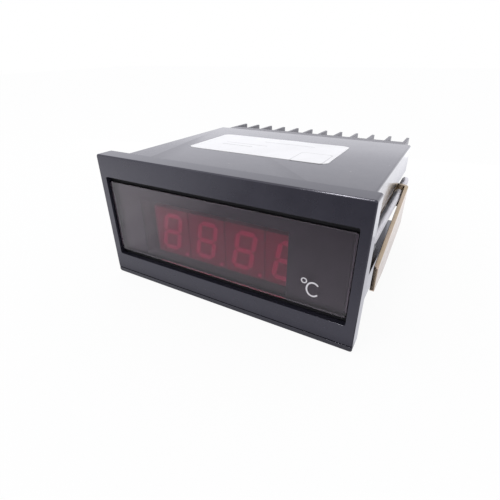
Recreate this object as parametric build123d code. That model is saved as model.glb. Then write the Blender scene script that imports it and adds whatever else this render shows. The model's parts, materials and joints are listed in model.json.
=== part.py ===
from build123d import *
import math
import os

# Digital panel meter, millimetres. X is the width, Y runs from the front into the panel, Z is up.
# The origin is the centre of the panel cut-out, on the plane where the bezel meets the panel.

# Bezel
bezel_width = 96.0
bezel_height = 48.0
bezel_depth = 6.4
bezel_wall = 2.4
bezel_corner = 0.8
bezel_edge = 0.35
lip_height = 2.1
lip_setback = 0.5
groove_width = 0.35
groove_depth = 0.6

# Window opening in the bezel and the lens behind it
window_width = 90.0
window_height = 31.0
window_rise = 0.75
window_corner = 0.6
lens_recess = 1.0
lens_side_gap = 0.75
lens_end_gap = 1.9
lens_corner = 0.8
lens_flange = 1.4
lens_flange_width = 90.6
lens_flange_height = 36.0

# Case sleeve
body_width = 91.0
body_height = 44.0
body_length = 70.1
body_corner = 0.7
case_wall = 1.8
seat_clearance = 0.05
fit_clearance = 0.1
channel_half_height = 11.4
channel_depth = 3.0
channel_start = 0.4
inner_corner = 0.5
lug_width = 10.0
lug_front = -1.9
lug_rear = -0.6
lug_ramp = 0.7
lug_height = 0.35
lug_place = 28.0
rail_height = 1.5
rail_reach = 2.6

# Mask, filter and display
mask_thickness = 0.25
mask_width = 85.0
mask_height = 33.0
mask_window_left = -32.5
mask_window_right = 25.0
mask_window_bottom = -12.6
mask_window_top = 9.6
filter_thickness = 0.5
filter_border = 1.5
digit_count = 4
digit_pitch = 15.0
digit_width = 14.6
digit_height = 18.0
digit_depth = 8.0
digit_face = 0.6
digits_centre_x = 0.9
digits_centre_z = -2.4
segment_length = 6.1
segment_width = 1.35
segment_gap = 0.25
segment_recess = 0.2
segment_slant = 10.0
digit_pin = 0.5
digit_pin_rows = 15.24
digit_pin_pitch = 2.54
digit_pins_per_row = 5
board_thickness = 1.6
display_board_width = 80.0
display_board_height = 34.0
pin_hole = 0.8

# Main board and what stands on it
main_board_width = 86.8
main_board_start = 10.5
main_board_end = 60.1
board_slot_clearance = 0.1
header_pitch = 2.54
header_pins = 16
header_body = 2.5
header_pin = 0.6
header_leg = 1.6
pin_stub = 0.8
chip_length = 52.0
chip_width = 13.8
chip_height = 3.8
chip_standoff = 0.5
chip_pins_per_side = 20
chip_x = -2.5
chip_y = 24.0
core_width = 30.0
core_stack = 14.0
core_height = 25.0
core_limb = 8.0
core_window_height = 15.0
core_window_width = 5.6
core_x = 20.0
core_y = 47.0
bobbin_wall = 0.8
bobbin_clearance = 0.2
coil_depth = 3.6
capacitor_radius = 5.0
capacitor_height = 20.0
capacitor_bevel = 0.5
capacitor_x = [-33.0, -20.5]
capacitor_y = 50.0
regulator_x = -4.0
regulator_y = 52.0
film_capacitor_x = [26.0, 31.0, 36.0]
film_capacitor_y = 20.0
diode_x = [-12.0, -3.0]
diode_y = [36.0, 41.0]
diode_radius = 1.35
diode_length = 5.0
diode_lead = 0.6
diode_reach = 3.8
trimmer_x = [-34.5, -34.5]
trimmer_y = [18.0, 30.0]
trimmer_side = 9.6
trimmer_height = 4.8
rotor_radius = 1.7
rotor_depth = 2.4
running_clearance = 0.05

# Rear board, rear cover and terminal strip
rear_board_start = 60.4
rear_board_width = 80.0
rear_board_top = 18.0
cover_thickness = 1.8
cover_clearance = 0.1
vent_count = 9
vent_width = 1.6
vent_height = 9.0
vent_pitch = 5.0
vent_centre_z = -8.0
latch_width = 8.0
latch_thickness = 1.2
latch_length = 7.0
latch_hook = 0.8
latch_hook_length = 2.0
latch_ramp = 1.2
latch_place = 24.0
terminal_ways = 11
terminal_pitch = 7.62
fin_thickness = 1.4
strip_start = 70.9
strip_depth = 6.7
strip_top = 21.5
strip_bottom = 5.5
fin_length = 11.4
fin_draft = 0.6
plug_inset = 2.6
plug_drop = 3.2
plug_start = 66.4
terminal_z = 13.5
terminal_plate_width = 5.8
terminal_plate_height = 10.0
terminal_plate_thickness = 0.8
terminal_tail_width = 1.2
terminal_tail_thickness = 0.6
terminal_tail_z = 9.6
washer_side = 5.6
washer_thickness = 0.9
terminal_screw_radius = 1.45
terminal_head_radius = 2.65
terminal_head_height = 1.9
terminal_screw_length = 6.0
head_bevel = 0.45
recess_reach = 1.7
recess_depth = 1.1
driver_slot = 0.7

# Side clamps
sheet = 1.4
clamp_inner_x = 42.7
clamp_outer_x = 49.0
clamp_nose = 10.5
clamp_rear = 57.0
clamp_bend = 2.0
clamp_nose_bottom = -12.1
clamp_nose_top = -3.1
clamp_tab_bottom = 0.9
clamp_tab_top = 9.9
clamp_corner = 0.8
clamp_arm_rear_bottom = -5.2
clamp_arm_heel = 27.0
clamp_leg_front = 24.0
clamp_leg_bottom = -1.0
clamp_leg_top = 6.4
clamp_hook_start = 25.0
clamp_hook_length = 3.0
clamp_hook_bottom = 0.6
clamp_hook_top = 4.2
clamp_hook_reach = 1.6
hook_clearance = 0.3
clamp_screw_radius = 1.45
clamp_screw_x = 45.8
clamp_screw_z = 6.5
clamp_screw_end = 74.0
foot_radius = 1.95
foot_length = 2.9
foot_front = 2.2
foot_floor = 0.9
foot_bevel = 0.3
thread_chamfer = 0.25

# Blank label on the top of the case
label_left = -32.6
label_right = 25.1
label_front = 25.4
label_rear = 55.0
label_thickness = 0.12
label_corner = 2.5

bezel_inner = bezel_wall - bezel_depth
lens_front = lens_recess - bezel_depth
lens_rear = bezel_inner + lens_flange
sleeve_front = lens_rear + seat_clearance
channel_floor = body_width / 2 - channel_depth
channel_inner = channel_floor - case_wall
inner_width = body_width - 2 * case_wall
inner_height = body_height - 2 * case_wall
mask_rear = lens_rear + mask_thickness
filter_rear = mask_rear + filter_thickness
digit_rear = digit_face + digit_depth
display_board_rear = digit_rear + board_thickness
bump_half_height = channel_half_height + case_wall
main_board_top = -bump_half_height - board_slot_clearance
main_board_bottom = main_board_top - board_thickness
rear_board_end = rear_board_start + board_thickness
cover_start = body_length - cover_thickness
strip_end = strip_start + strip_depth
row_half = terminal_ways * terminal_pitch / 2
plug_half_width = row_half - plug_inset
plug_top = strip_top - plug_drop
plug_bottom = strip_bottom + plug_drop / 2
plate_rear = strip_end + terminal_plate_thickness
washer_rear = plate_rear + washer_thickness


def block(x0, x1, y0, y1, z0, z1):
    """A box between two corners."""
    size = Box(x1 - x0, y1 - y0, z1 - z0)
    return Pos((x0 + x1) / 2, (y0 + y1) / 2, (z0 + z1) / 2) * size


def front_plane(y, x=0.0, z=0.0):
    """A drawing plane that faces the front, with X across and Z up."""
    return Plane(origin=(x, y, z), x_dir=(1, 0, 0), z_dir=(0, -1, 0))


def slab(width, height, y0, y1, corner, x=0.0, z=0.0):
    """A plate with rounded corners that faces the front, from y0 to y1."""
    return extrude(front_plane(y1, x, z) * RectangleRounded(width, height, corner), amount=y1 - y0)


def side_plate(points, x0, x1, corner=0.0):
    """A plate that faces the side, cut to an outline of (y, z) points."""
    plane = Plane(origin=(x0, 0, 0), x_dir=(0, 1, 0), z_dir=(1, 0, 0))
    outline = make_face(Polyline(*points, close=True))
    if corner:
        outline = fillet(outline.vertices(), corner)
    return extrude(plane * outline, amount=x1 - x0)


def rod(radius, x, z, y0, y1):
    """A round bar along Y."""
    return Pos(x, (y0 + y1) / 2, z) * Rot(90, 0, 0) * Cylinder(radius, y1 - y0)


def turned(profile, x, z):
    """A piece turned about a line along Y, from a half section of (radius, y) points."""
    section = make_face(Polyline(*profile, close=True))
    return Pos(x, 0, z) * revolve(section, axis=Axis.Y)


def turned_over(shape):
    """The same piece on the other side, half a turn about Y."""
    return Rot(0, 180, 0) * shape


def terminal_places():
    return [(i - (terminal_ways - 1) / 2) * terminal_pitch for i in range(terminal_ways)]


def lens_size():
    return window_width - 2 * lens_side_gap, window_height - 2 * lens_end_gap


def front_bezel():
    frame = slab(bezel_width, bezel_height, -bezel_depth, 0, bezel_corner)
    frame = chamfer(frame.faces().sort_by(Axis.Y)[0].edges(), bezel_edge)
    pocket_width = body_width + 2 * seat_clearance
    pocket_height = body_height + 2 * seat_clearance
    front = -bezel_depth - 1
    half = bezel_width / 2 + 1
    lip_top = lip_height - bezel_height / 2
    lip_bottom = -bezel_height / 2 - 0.01
    bevel = [
        (front, lip_top),
        (-bezel_depth, lip_top),
        (lip_setback - bezel_depth, lip_bottom),
        (front, lip_bottom),
    ]
    cuts = [
        slab(pocket_width, pocket_height, bezel_inner, 1, body_corner),
        slab(window_width, window_height, front, bezel_inner + 1, window_corner, z=window_rise),
        side_plate(bevel, -half, half),
        block(-half, half, front, groove_depth - bezel_depth, lip_top, lip_top + groove_width),
    ]
    reach = body_height / 2 + lug_height + fit_clearance
    wide = lug_width / 2 + fit_clearance
    for x in (-lug_place, lug_place):
        cuts.append(
            block(x - wide, x + wide, lug_front - fit_clearance, lug_rear + fit_clearance, -reach, reach)
        )
    return frame - cuts


def front_lens():
    """The lens and its flange, with the raised pad that shows in the window."""
    pad_width, pad_height = lens_size()
    flange = slab(
        lens_flange_width, lens_flange_height, bezel_inner, lens_rear, lens_corner, z=window_rise
    )
    pad = slab(pad_width, pad_height, lens_front, bezel_inner + 0.2, lens_corner, z=window_rise)
    return flange + pad


def display_mask():
    outline = RectangleRounded(mask_width, mask_height, lens_corner)
    width = mask_window_right - mask_window_left
    height = mask_window_top - mask_window_bottom
    x = (mask_window_left + mask_window_right) / 2
    z = (mask_window_bottom + mask_window_top) / 2
    opening = Pos(x, z - window_rise) * Rectangle(width, height)
    return extrude(front_plane(mask_rear, z=window_rise) * (outline - opening), amount=mask_thickness)


def red_filter():
    width = mask_window_right - mask_window_left + 2 * filter_border
    height = mask_window_top - mask_window_bottom + 2 * filter_border
    x = (mask_window_left + mask_window_right) / 2
    z = (mask_window_bottom + mask_window_top) / 2
    return slab(width, height, mask_rear, filter_rear, lens_corner, x=x, z=z)


def segment_cutters(x):
    """Seven bars of one slanted figure eight, as shallow pockets in the face of a digit."""
    shear = math.tan(math.radians(segment_slant))
    half = segment_width / 2
    step = segment_length + segment_gap
    bars = []
    for row in (-1, 0, 1):
        bars.append((0.0, row * step, segment_length / 2, 0.0))
    for row in (-0.5, 0.5):
        for side in (-0.5, 0.5):
            bars.append((side * step, row * step, 0.0, segment_length / 2))
    pockets = []
    plane = front_plane(digit_face + segment_recess, x, digits_centre_z)
    for across, up, reach_x, reach_z in bars:
        if reach_x:
            corners = [(-reach_x, 0), (half - reach_x, half), (reach_x - half, half)]
        else:
            corners = [(0, -reach_z), (half, half - reach_z), (half, reach_z - half)]
        corners += [(-cx, -cz) for cx, cz in corners]
        outline = [(across + cx + (up + cz) * shear, up + cz) for cx, cz in corners]
        bar = make_face(Polyline(*outline, close=True))
        pockets.append(extrude(plane * bar, amount=segment_recess + 1))
    return pockets


def digit_places():
    return [digits_centre_x + (i - (digit_count - 1) / 2) * digit_pitch for i in range(digit_count)]


def digit_pin_places(x):
    places = []
    for row in (-0.5, 0.5):
        for i in range(digit_pins_per_row):
            pin_x = x + (i - (digit_pins_per_row - 1) / 2) * digit_pin_pitch
            places.append((pin_x, digits_centre_z + row * digit_pin_rows))
    return places


def digit_module(x):
    body = slab(digit_width, digit_height, digit_face, digit_rear, 0.4, x=x, z=digits_centre_z)
    point_x = x + digit_width / 2 - 1.5
    point_z = digits_centre_z - segment_length - segment_width
    point = rod(0.8, point_x, point_z, digit_face - 1, digit_face + segment_recess)
    half = digit_pin / 2
    tip = display_board_rear + 1.0
    pins = [
        block(px - half, px + half, digit_rear - 0.2, tip, pz - half, pz + half)
        for px, pz in digit_pin_places(x)
    ]
    return (body - [*segment_cutters(x), point]) + pins


def square_holes(places):
    """Square pin holes at (x, z) places, in an upright board's drawing plane."""
    return [Pos(px, pz) * Rectangle(pin_hole, pin_hole) for px, pz in places]


def upright_pin_places():
    """Where the pins of a right-angle header go through an upright board."""
    return [(x, main_board_top + header_body / 2) for x in header_places()]


def display_board():
    z = window_rise - 1.0
    outline = Pos(0, z) * RectangleRounded(display_board_width, display_board_height, 0.8)
    places = upright_pin_places()
    for x in digit_places():
        places += digit_pin_places(x)
    return extrude(front_plane(display_board_rear) * (outline - square_holes(places)), amount=board_thickness)


def header_places():
    return [(i - (header_pins - 1) / 2) * header_pitch for i in range(header_pins)]


def right_angle_header(face, direction):
    """A pin row between an upright board, whose face is at y = face, and the main board under it."""
    body_half = header_pins * header_pitch / 2
    far = face + direction * header_body
    low = main_board_top
    header = block(-body_half, body_half, min(face, far), max(face, far), low, low + header_body)
    half = header_pin / 2
    leg_y = face + direction * header_leg
    pin_z = low + header_body / 2
    inside = face + direction * 0.3
    tip = face - direction * (board_thickness + pin_stub)
    leg_end = main_board_bottom - pin_stub
    pins = []
    for x in header_places():
        pins.append(block(x - half, x + half, min(inside, tip), max(inside, tip), pin_z - half, pin_z + half))
        pins.append(block(x - half, x + half, leg_y - half, leg_y + half, leg_end, low + 0.3))
    return header + pins


def case_outline(half_width, half_height, corner, floor, channel_half):
    """The case's outline across its length, with a channel down each side."""
    reach = half_width - floor + 1
    notch = Rectangle(reach, 2 * channel_half)
    notches = [Pos(side * (floor + reach / 2), 0) * notch for side in (-1, 1)]
    return RectangleRounded(2 * half_width, 2 * half_height, corner) - notches


def snap_ramp(start, end, ramp, base, top):
    """Half section of a snap lug in (y, z): a ramp that leads in, and a square back that holds."""
    return [(start, base - 0.2), (start, base), (start + ramp, top), (end, top), (end, base - 0.2)]


def upside_down(profile):
    return [(y, -z) for y, z in profile]


def case_sleeve():
    full = RectangleRounded(body_width, body_height, body_corner)
    hollow = RectangleRounded(inner_width, inner_height, inner_corner)
    outer = case_outline(body_width / 2, body_height / 2, body_corner, channel_floor, channel_half_height)
    inner = case_outline(inner_width / 2, inner_height / 2, inner_corner, channel_inner, bump_half_height)
    end_wall = channel_start - case_wall
    shell = extrude(front_plane(body_length) * (outer - inner), amount=body_length - channel_start)
    shell += extrude(front_plane(channel_start) * (full - inner), amount=case_wall)
    shell += extrude(front_plane(end_wall) * (full - hollow), amount=end_wall - sleeve_front)
    roof = body_height / 2
    lug = snap_ramp(lug_front, lug_rear, lug_ramp, roof, roof + lug_height)
    rail_top = main_board_bottom - board_slot_clearance
    additions = []
    for x in (-lug_place, lug_place):
        for profile in (lug, upside_down(lug)):
            additions.append(side_plate(profile, x - lug_width / 2, x + lug_width / 2))
    for side in (-1, 1):
        wall = side * (inner_width / 2 + 0.2)
        reach = side * (inner_width / 2 - rail_reach)
        low_x = min(wall, reach)
        high_x = max(wall, reach)
        rail_bottom = rail_top - rail_height
        additions.append(block(low_x, high_x, main_board_start, main_board_end, rail_bottom, rail_top))
    slot = block(
        channel_inner - 1,
        channel_floor + 1,
        clamp_hook_start - hook_clearance,
        clamp_hook_start + clamp_hook_length,
        clamp_hook_bottom - hook_clearance,
        clamp_hook_top + hook_clearance,
    )
    cuts = [slot, turned_over(slot)]
    hook_start = cover_start - latch_length
    pocket_start = hook_start - fit_clearance
    pocket_end = hook_start + latch_hook_length + fit_clearance
    reach = inner_height / 2 + latch_hook + fit_clearance - cover_clearance
    wide = latch_width / 2 + fit_clearance
    for x in (-latch_place, latch_place):
        cuts.append(block(x - wide, x + wide, pocket_start, pocket_end, -reach, reach))
    return (shell + additions) - cuts


def main_board():
    half = main_board_width / 2
    board = block(-half, half, main_board_start, main_board_end, main_board_bottom, main_board_top)
    hole = pin_hole / 2
    low = main_board_bottom - 1
    high = main_board_top + 1
    holes = []
    for leg_y in (display_board_rear + header_leg, rear_board_start - header_leg):
        for x in header_places():
            holes.append(block(x - hole, x + hole, leg_y - hole, leg_y + hole, low, high))
    return board - holes


def rear_board():
    height = rear_board_top - main_board_bottom
    outline = Pos(0, (rear_board_top + main_board_bottom) / 2) * Rectangle(rear_board_width, height)
    slit = Rectangle(terminal_tail_width + 0.2, terminal_tail_thickness + 0.2)
    slits = [Pos(x, terminal_tail_z) * slit for x in terminal_places()]
    holes = square_holes(upright_pin_places())
    return extrude(front_plane(rear_board_end) * (outline - [*slits, *holes]), amount=board_thickness)


def converter_chip():
    """A moulded package with drafted sides, a pin-one notch and two rows of bent leads."""
    bottom = main_board_top + chip_standoff
    plane = Plane(origin=(chip_x, chip_y, bottom))
    waist = plane.offset(chip_height / 2) * Rectangle(chip_length, chip_width)
    base = plane * Rectangle(chip_length - 0.4, chip_width - 0.4)
    top = plane.offset(chip_height) * Rectangle(chip_length - 0.4, chip_width - 0.4)
    chip = loft([base, waist]) + loft([waist, top])
    chip -= Pos(chip_x - chip_length / 2, chip_y, bottom + chip_height) * Cylinder(1.3, 1.0)
    lead_z = bottom + chip_height / 2
    leads = []
    for i in range(chip_pins_per_side):
        x = chip_x + (i - (chip_pins_per_side - 1) / 2) * header_pitch
        for side in (-1, 1):
            near = chip_y + side * (chip_width / 2 - 0.3)
            far = chip_y + side * (chip_width / 2 + 0.7)
            outer = chip_y + side * (chip_width / 2 + 0.4)
            low = min(near, far)
            high = max(near, far)
            leads.append(block(x - 0.6, x + 0.6, low, high, lead_z - 0.13, lead_z + 0.13))
            leads.append(block(x - 0.25, x + 0.25, min(outer, far), max(outer, far), main_board_top, lead_z))
    return chip + leads


def transformer_core():
    """A stack of laminations with a window on each side of the middle limb."""
    sheet_outline = Rectangle(core_width, core_height)
    window_x = (core_limb + core_window_width) / 2
    window = Rectangle(core_window_width, core_window_height)
    windows = [Pos(side * window_x, 0) * window for side in (-1, 1)]
    plane = front_plane(core_y + core_stack / 2, core_x, main_board_top + core_height / 2)
    return extrude(plane * (sheet_outline - windows), amount=core_stack)


def bobbin_size():
    """Half sizes of the bobbin's bore, and the height of the core window."""
    bore_x = core_limb / 2 + bobbin_clearance
    bore_y = core_stack / 2 + bobbin_clearance
    return bore_x, bore_y, main_board_top + (core_height - core_window_height) / 2


def transformer_bobbin():
    """A tube round the middle limb with a flange at each end, standing on the lower yoke."""
    bore_x, bore_y, bottom = bobbin_size()
    bore = Rectangle(2 * bore_x, 2 * bore_y)
    tube = Rectangle(2 * (bore_x + bobbin_wall), 2 * (bore_y + bobbin_wall)) - bore
    flange_border = coil_depth + bobbin_wall + 0.3
    flange = Rectangle(2 * (bore_x + flange_border), 2 * (bore_y + flange_border)) - bore
    height = core_window_height - bobbin_clearance
    shape = Pos(core_x, core_y, bottom) * extrude(tube, amount=height)
    for low in (bottom, bottom + height - bobbin_wall):
        shape += Pos(core_x, core_y, low) * extrude(flange, amount=bobbin_wall)
    return shape


def transformer_coil():
    """The winding under its tape, between the bobbin's flanges."""
    bore_x, bore_y, bottom = bobbin_size()
    height = core_window_height - bobbin_clearance - 2 * bobbin_wall
    tube_x = bore_x + bobbin_wall
    tube_y = bore_y + bobbin_wall
    outline = RectangleRounded(2 * (tube_x + coil_depth), 2 * (tube_y + coil_depth), 2.0)
    outline -= Rectangle(2 * tube_x, 2 * tube_y)
    return Pos(core_x, core_y, bottom + bobbin_wall) * extrude(outline, amount=height)


def filter_capacitors():
    cans = []
    for x in capacitor_x:
        middle = Pos(x, capacitor_y, main_board_top + capacitor_height / 2)
        can = middle * Cylinder(capacitor_radius, capacitor_height)
        can = chamfer(can.edges().sort_by(Axis.Z)[-1], capacitor_bevel)
        cans.append(can)
    return Compound(children=cans)


def voltage_regulator():
    base = main_board_top
    left = regulator_x - 5
    right = regulator_x + 5
    rear = regulator_y + 2.2
    body = block(left, right, regulator_y - 2.2, rear, base + 4, base + 13)
    tab = block(left, right, regulator_y + 0.9, rear, base + 13, base + 19.5)
    tab -= rod(1.8, regulator_x, base + 16.5, regulator_y, regulator_y + 3)
    leads = []
    for i in (-1, 0, 1):
        lead_x = regulator_x + i * header_pitch
        leads.append(
            block(lead_x - 0.4, lead_x + 0.4, regulator_y - 0.3, regulator_y + 0.3, base, base + 4.2)
        )
    return body + [tab, *leads]


def film_capacitors():
    bodies = []
    for x in film_capacitor_x:
        base = main_board_top
        plane = Plane(origin=(x, film_capacitor_y, base))
        bodies.append(extrude(plane * RectangleRounded(3.2, 9.0, 0.5), amount=7.5))
    return Compound(children=bodies)


def rectifier_diodes():
    bodies = []
    lift = main_board_top + diode_radius + 0.6
    half = diode_lead / 2
    for x in diode_x:
        for y in diode_y:
            body = Pos(x, y, lift) * Rot(0, 90, 0) * Cylinder(diode_radius, diode_length)
            leads = []
            for side in (-1, 1):
                near = x + side * (diode_length / 2 - 0.3)
                far = x + side * diode_reach
                inner = x + side * (diode_reach - diode_lead)
                low = min(near, far)
                high = max(near, far)
                leads.append(block(low, high, y - half, y + half, lift - half, lift + half))
                leads.append(
                    block(min(inner, far), max(inner, far), y - half, y + half, main_board_top, lift)
                )
            bodies.append(solid_of(body + leads))
    return Compound(children=bodies)


def trimmer_body(index):
    x = trimmer_x[index]
    y = trimmer_y[index]
    half = trimmer_side / 2
    top = main_board_top + trimmer_height
    body = block(x - half, x + half, y - half, y + half, main_board_top, top)
    hole = Cylinder(rotor_radius + running_clearance, rotor_depth)
    body -= Pos(x, y, top - rotor_depth / 2) * hole
    return body


def trimmer_rotor(index):
    x = trimmer_x[index]
    y = trimmer_y[index]
    top = main_board_top + trimmer_height
    height = rotor_depth - running_clearance
    rotor = Pos(x, y, top - height / 2) * Cylinder(rotor_radius, height)
    arm = driver_slot / 2
    return rotor - block(x - rotor_radius, x + rotor_radius, y - arm, y + arm, top - 0.7, top + 1)


def rear_cover():
    """The cover plate with its vents and the opening for the terminal strip, and four snap latches."""
    margin = cover_clearance
    outline = case_outline(
        inner_width / 2 - margin,
        inner_height / 2 - margin,
        inner_corner,
        channel_inner - margin,
        bump_half_height + margin,
    )
    plug_height = plug_top - plug_bottom + 2 * margin
    plug_hole = Rectangle(2 * (plug_half_width + margin), plug_height)
    openings = [Pos(0, (plug_top + plug_bottom) / 2) * plug_hole]
    for i in range(vent_count):
        x = (i - (vent_count - 1) / 2) * vent_pitch
        openings.append(Pos(x, vent_centre_z) * Rectangle(vent_width, vent_height))
    cover = extrude(front_plane(body_length) * (outline - openings), amount=cover_thickness)
    outer = inner_height / 2 - margin
    inside = outer - latch_thickness
    tip = cover_start - latch_length
    hook_top = outer + latch_hook - fit_clearance
    latch = [
        (cover_start + 0.2, inside),
        (tip, inside),
        (tip, outer),
        (tip + latch_ramp, hook_top),
        (tip + latch_hook_length, hook_top),
        (tip + latch_hook_length, outer),
        (cover_start + 0.2, outer),
    ]
    latches = []
    for x in (-latch_place, latch_place):
        for profile in (latch, upside_down(latch)):
            latches.append(side_plate(profile, x - latch_width / 2, x + latch_width / 2))
    return cover + latches


def terminal_block():
    """The strip, the plug that holds it in the cover, and the drafted fins that part its ways."""
    half = row_half + fin_thickness / 2
    strip = block(-half, half, strip_start, strip_end, strip_bottom, strip_top)
    plug = block(-plug_half_width, plug_half_width, plug_start, strip_start + 0.2, plug_bottom, plug_top)
    fin_root = Rectangle(fin_thickness, strip_top - strip_bottom)
    middle = (strip_top + strip_bottom) / 2
    fins = []
    for i in range(terminal_ways + 1):
        x = i * terminal_pitch - row_half
        plane = Plane(origin=(x, strip_end - 0.2, middle), x_dir=(1, 0, 0), z_dir=(0, 1, 0))
        fins.append(extrude(plane * fin_root, amount=fin_length + 0.2, taper=fin_draft))
    bore = terminal_screw_radius + fit_clearance
    wide = terminal_tail_width / 2 + 0.1
    tall = terminal_tail_thickness / 2 + 0.1
    low = terminal_tail_z - tall
    high = terminal_tail_z + tall
    cuts = []
    for x in terminal_places():
        cuts.append(rod(bore, x, terminal_z, strip_end - terminal_screw_length, strip_end + 1))
        cuts.append(block(x - wide, x + wide, plug_start - 1, strip_end + 1, low, high))
    return (strip + [plug, *fins]) - cuts


def terminal_plate(x):
    half = terminal_plate_width / 2
    low = terminal_z - terminal_plate_height / 2
    plate = block(x - half, x + half, strip_end, plate_rear, low, low + terminal_plate_height)
    plate -= rod(terminal_screw_radius + running_clearance, x, terminal_z, strip_end - 1, plate_rear + 1)
    plate += block(
        x - terminal_tail_width / 2,
        x + terminal_tail_width / 2,
        rear_board_start - 0.8,
        strip_end + 0.2,
        terminal_tail_z - terminal_tail_thickness / 2,
        terminal_tail_z + terminal_tail_thickness / 2,
    )
    return plate


def terminal_washer(x):
    half = washer_side / 2
    washer = block(x - half, x + half, plate_rear, washer_rear, terminal_z - half, terminal_z + half)
    bore = terminal_screw_radius + running_clearance
    return washer - rod(bore, x, terminal_z, plate_rear - 1, washer_rear + 1)


def terminal_screw(x):
    """A bevelled cheese head on a plain shank, with a cross recess."""
    front = strip_end - terminal_screw_length + 0.5
    top = washer_rear + terminal_head_height
    profile = [
        (0, front),
        (terminal_screw_radius, front),
        (terminal_screw_radius, washer_rear),
        (terminal_head_radius, washer_rear),
        (terminal_head_radius, top - head_bevel),
        (terminal_head_radius - head_bevel, top),
        (0, top),
    ]
    arm = driver_slot / 2
    recess = []
    for wide, tall in ((recess_reach, arm), (arm, recess_reach)):
        recess.append(
            block(x - wide, x + wide, top - recess_depth, top + 1, terminal_z - tall, terminal_z + tall)
        )
    return turned(profile, x, terminal_z) - recess


def clamp_bracket():
    """A U of sheet steel: outer arm with the nose, rear tab with the thread, inner leg with the hook."""
    middle_x = (clamp_inner_x + clamp_outer_x) / 2
    across = clamp_outer_x - clamp_inner_x
    low = clamp_nose_bottom - 1
    plane = Plane(origin=(middle_x, clamp_rear / 2, low))
    outer = plane * RectangleRounded(across, clamp_rear, clamp_bend)
    inner = plane * Pos(0, -sheet, 0) * RectangleRounded(across - 2 * sheet, clamp_rear, clamp_bend - sheet)
    bent = extrude(outer - inner, amount=clamp_tab_top - low + 1)
    beyond = clamp_rear + 1
    arm = [
        (clamp_nose, clamp_nose_bottom),
        (clamp_nose, clamp_nose_top),
        (clamp_rear - clamp_bend, clamp_tab_top - 0.4),
        (beyond, clamp_tab_top),
        (beyond, clamp_arm_rear_bottom),
        (clamp_arm_heel, clamp_nose_bottom),
    ]
    leg = [
        (clamp_leg_front, clamp_leg_bottom),
        (clamp_leg_front, clamp_leg_top - 0.2),
        (clamp_rear - 5, clamp_leg_top),
        (clamp_rear - clamp_bend, clamp_tab_top),
        (beyond, clamp_tab_top),
        (beyond, clamp_tab_bottom),
        (clamp_rear - clamp_bend, clamp_tab_bottom),
        (clamp_rear - 5, clamp_leg_bottom),
    ]
    keep = side_plate(arm, clamp_outer_x - clamp_bend, clamp_outer_x + 1, clamp_corner)
    keep += side_plate(leg, clamp_inner_x - 1, clamp_inner_x + clamp_bend, clamp_corner)
    keep += block(
        clamp_inner_x + clamp_bend - 0.1,
        clamp_outer_x - clamp_bend + 0.1,
        clamp_rear - clamp_bend,
        beyond,
        clamp_tab_bottom,
        clamp_tab_top,
    )
    bracket = bent & keep
    bracket += block(
        clamp_inner_x - clamp_hook_reach,
        clamp_inner_x + sheet / 2,
        clamp_hook_start,
        clamp_hook_start + clamp_hook_length,
        clamp_hook_bottom,
        clamp_hook_top,
    )
    bore = clamp_screw_radius + running_clearance
    return bracket - rod(bore, clamp_screw_x, clamp_screw_z, clamp_rear - 8, clamp_rear + 2)


def clamp_screw():
    """A headless screw with chamfered ends and a driver slot at the rear."""
    front = foot_front + foot_floor
    inner = clamp_screw_radius - thread_chamfer
    profile = [
        (0, front),
        (inner, front),
        (clamp_screw_radius, front + thread_chamfer),
        (clamp_screw_radius, clamp_screw_end - thread_chamfer),
        (inner, clamp_screw_end),
        (0, clamp_screw_end),
    ]
    left = clamp_screw_x - clamp_screw_radius - 1
    right = clamp_screw_x + clamp_screw_radius + 1
    low = clamp_screw_z - driver_slot / 2
    high = clamp_screw_z + driver_slot / 2
    slot = block(left, right, clamp_screw_end - 1.0, clamp_screw_end + 1, low, high)
    return turned(profile, clamp_screw_x, clamp_screw_z) - slot


def screw_foot():
    """The swivelling foot on the tip of the clamp screw, which bears on the panel."""
    rear = foot_front + foot_length
    floor = foot_front + foot_floor
    bore = clamp_screw_radius + running_clearance
    profile = [
        (0, foot_front),
        (foot_radius - foot_bevel, foot_front),
        (foot_radius, foot_front + foot_bevel),
        (foot_radius, rear),
        (bore, rear),
        (bore, floor),
        (0, floor),
    ]
    return turned(profile, clamp_screw_x, clamp_screw_z)


def top_label():
    width = label_right - label_left
    depth = label_rear - label_front
    outline = RectangleRounded(width, depth, label_corner)
    centre = ((label_left + label_right) / 2, (label_front + label_rear) / 2, body_height / 2)
    return extrude(Plane(origin=centre) * outline, amount=label_thickness)


def solid_of(shape):
    """The shape itself, or its only solid where an operation wrapped it."""
    solids = shape.solids()
    return solids[0] if len(solids) == 1 else Compound(children=list(solids))


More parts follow.
